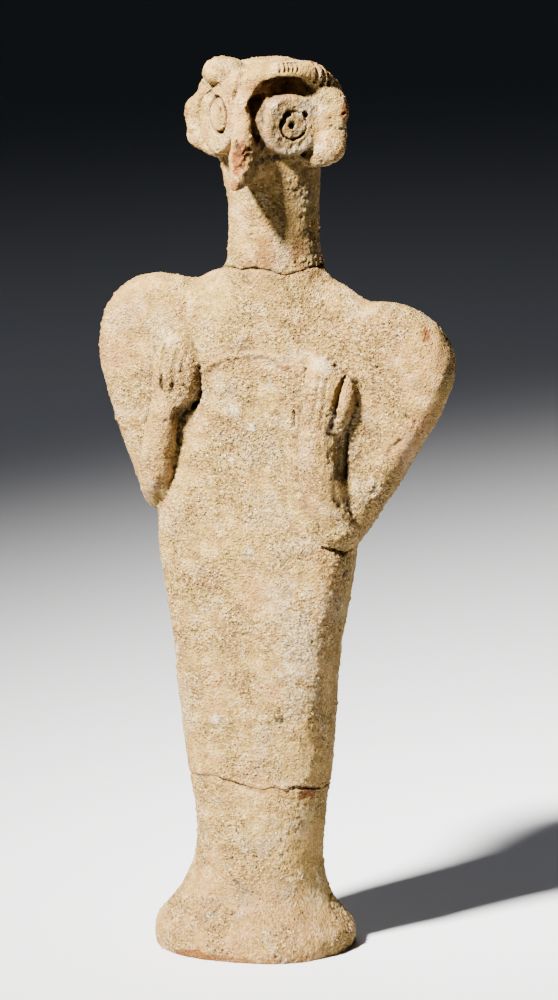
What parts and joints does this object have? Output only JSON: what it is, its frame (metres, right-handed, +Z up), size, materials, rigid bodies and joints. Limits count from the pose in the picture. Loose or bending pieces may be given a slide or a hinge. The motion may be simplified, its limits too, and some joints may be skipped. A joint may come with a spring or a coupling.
{
  "type": "clay figurine",
  "caption": "Handmade clay figurine standing on a flared foot, with a beaked face, ringed disc eyes, ear plates, a notched headband and arms folded up the chest.",
  "frame": {"origin": "middle of the foot's flat underside, on the ground", "axes": "+Z up along the figure, the face looks along -Y, and +X is the figure's own left"},
  "size_m": [0.0677, 0.035, 0.1652],
  "materials": {
    "fired_clay": "matte"
  },
  "bodies": {
    "root": {"clay_figurine": "fired_clay"}
  },
  "joints": []
}
